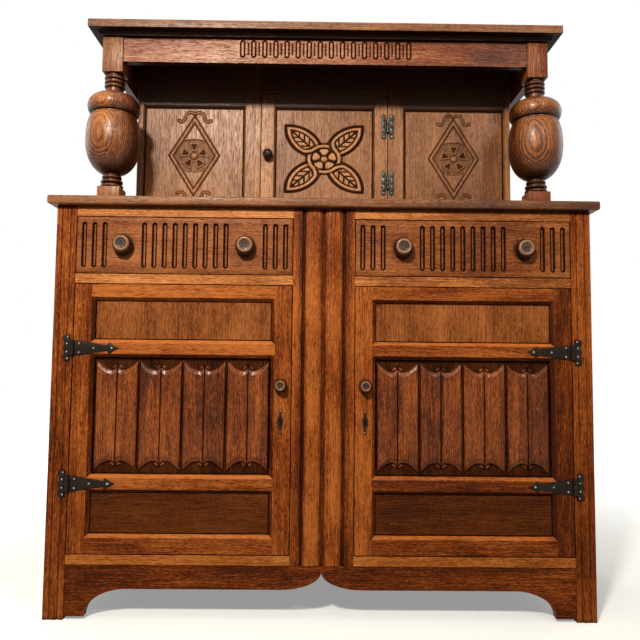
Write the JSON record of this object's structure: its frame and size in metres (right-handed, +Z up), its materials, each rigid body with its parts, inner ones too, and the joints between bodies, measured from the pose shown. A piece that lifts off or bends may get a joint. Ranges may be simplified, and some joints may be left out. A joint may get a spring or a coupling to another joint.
{
  "type": "sideboard",
  "caption": "Oak sideboard with a canopied upper cupboard on bulbous turned columns, over fluted drawers and linenfold doors hung on iron straps.",
  "frame": {"origin": "on the floor, below the middle of the outer box", "axes": "+Z up, -Y towards the front with its doors and drawers, +X to the right as seen from the front"},
  "size_m": [1.22, 0.491, 1.327],
  "materials": {
    "oak": "waxed, mid golden brown, open grain",
    "inner_oak": "unpolished, darker",
    "turned_oak": "polished, dark brown",
    "iron": "black, satin, hammered"
  },
  "bodies": {
    "case": {"front_post_left": "oak", "front_post_right": "oak", "centre_muntin": "oak", "top_rail": "oak", "drawer_deck": "oak", "bottom_rail": "oak", "apron": "oak", "end_frame_left": "oak", "end_frame_right": "oak", "floor_board": "inner_oak", "partition": "inner_oak", "lower_back": "inner_oak", "main_top": "oak", "hinge_plate_left_upper": "iron", "hinge_plate_left_lower": "iron", "hinge_plate_right_upper": "iron", "hinge_plate_right_lower": "iron", "column_left": "oak", "column_right": "oak", "frieze_front": "oak", "frieze_left": "oak", "frieze_right": "oak", "cornice": "oak", "upper_end_left": "oak", "upper_end_right": "oak", "upper_face_frame": "oak", "carved_panel_left": "oak", "carved_panel_right": "oak", "upper_back": "inner_oak", "upper_hinge_plate_upper": "iron", "upper_hinge_plate_lower": "iron"},
    "door_left": {"door_left_frame": "oak", "door_left_top_panel": "oak", "door_left_linenfold_panel": "oak", "door_left_bottom_panel": "oak", "door_left_knob": "turned_oak", "door_left_escutcheon": "iron", "door_left_strap_upper": "iron", "door_left_strap_lower": "iron"},
    "door_right": {"door_right_frame": "oak", "door_right_top_panel": "oak", "door_right_linenfold_panel": "oak", "door_right_bottom_panel": "oak", "door_right_knob": "turned_oak", "door_right_escutcheon": "iron", "door_right_strap_upper": "iron", "door_right_strap_lower": "iron"},
    "drawer_left": {"drawer_left_front": "oak", "drawer_left_box": "inner_oak", "drawer_left_knob_outer": "turned_oak", "drawer_left_knob_inner": "turned_oak"},
    "drawer_right": {"drawer_right_front": "oak", "drawer_right_box": "inner_oak", "drawer_right_knob_outer": "turned_oak", "drawer_right_knob_inner": "turned_oak"},
    "upper_door": {"upper_door_frame": "oak", "upper_door_panel": "oak", "upper_door_knob": "iron", "upper_door_leaf_upper": "iron", "upper_door_leaf_lower": "iron"}
  },
  "joints": [
    {"name": "door_left_hinge", "type": "hinge", "parent": "case", "child": "door_left", "pos_m": [-0.54875, -0.2217, 0.43], "axis": [0, 0, -1], "range_deg": [0, 165]},
    {"name": "door_right_hinge", "type": "hinge", "parent": "case", "child": "door_right", "pos_m": [0.54875, -0.2217, 0.43], "axis": [0, 0, 1], "range_deg": [0, 165]},
    {"name": "drawer_left_slide", "type": "slide", "parent": "case", "child": "drawer_left", "axis": [0, -1, 0], "range_m": [0, 0.28]},
    {"name": "drawer_right_slide", "type": "slide", "parent": "case", "child": "drawer_right", "axis": [0, -1, 0], "range_m": [0, 0.28]},
    {"name": "upper_door_hinge", "type": "hinge", "parent": "case", "child": "upper_door", "pos_m": [0.15825, -0.0667, 1.07], "axis": [0, 0, 1], "range_deg": [0, 115]}
  ]
}
